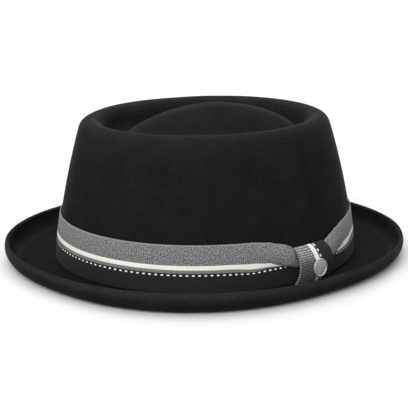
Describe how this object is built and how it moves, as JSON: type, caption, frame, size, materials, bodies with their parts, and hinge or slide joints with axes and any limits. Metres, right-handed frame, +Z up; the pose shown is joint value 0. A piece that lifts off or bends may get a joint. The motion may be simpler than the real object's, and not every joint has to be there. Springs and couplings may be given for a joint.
{
  "type": "porkpie hat",
  "caption": "Black felt porkpie hat with a telescope crown, a brim curled up all round, a striped ribbon gathered under a short loop, and a small blank metal badge.",
  "frame": {"origin": "centre of the hat's footprint, on the flat of the brim's underside", "axes": "+Z up through the crown, -Y towards the front of the hat, +X towards the wearer's left"},
  "size_m": [0.2292, 0.2618, 0.0968],
  "materials": {
    "felt": "matte black wool felt",
    "ribbon": "ribbed woven ribbon in heather grey, cream and black stripes",
    "badge_metal": "satin grey metal"
  },
  "bodies": {
    "root": {"felt_body": "felt", "ribbon_band": "ribbon", "ribbon_knot": "ribbon", "badge": "badge_metal"}
  },
  "joints": []
}
